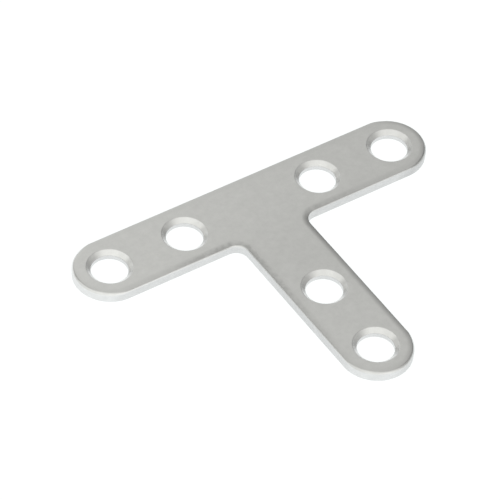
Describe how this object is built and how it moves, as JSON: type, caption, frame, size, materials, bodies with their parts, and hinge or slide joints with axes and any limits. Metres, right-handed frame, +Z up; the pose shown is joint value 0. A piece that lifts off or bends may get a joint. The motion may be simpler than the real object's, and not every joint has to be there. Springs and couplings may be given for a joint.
{
  "type": "extrusion joining plate",
  "caption": "Flat T-shaped joining plate of zinc-plated sheet steel, with round ends and shallow countersunk bolt holes along the crossbar and the stem.",
  "frame": {"origin": "where the centre lines of the crossbar and the stem cross, on the flat underside", "axes": "+X along the crossbar, the stem runs towards -Y, +Z up out of the top face that the countersinks open to"},
  "size_m": [0.07, 0.0503, 0.002],
  "materials": {
    "zinc_plated_steel": "satin zinc plating on punched sheet steel"
  },
  "bodies": {
    "root": {"joining_plate": "zinc_plated_steel"}
  },
  "joints": []
}
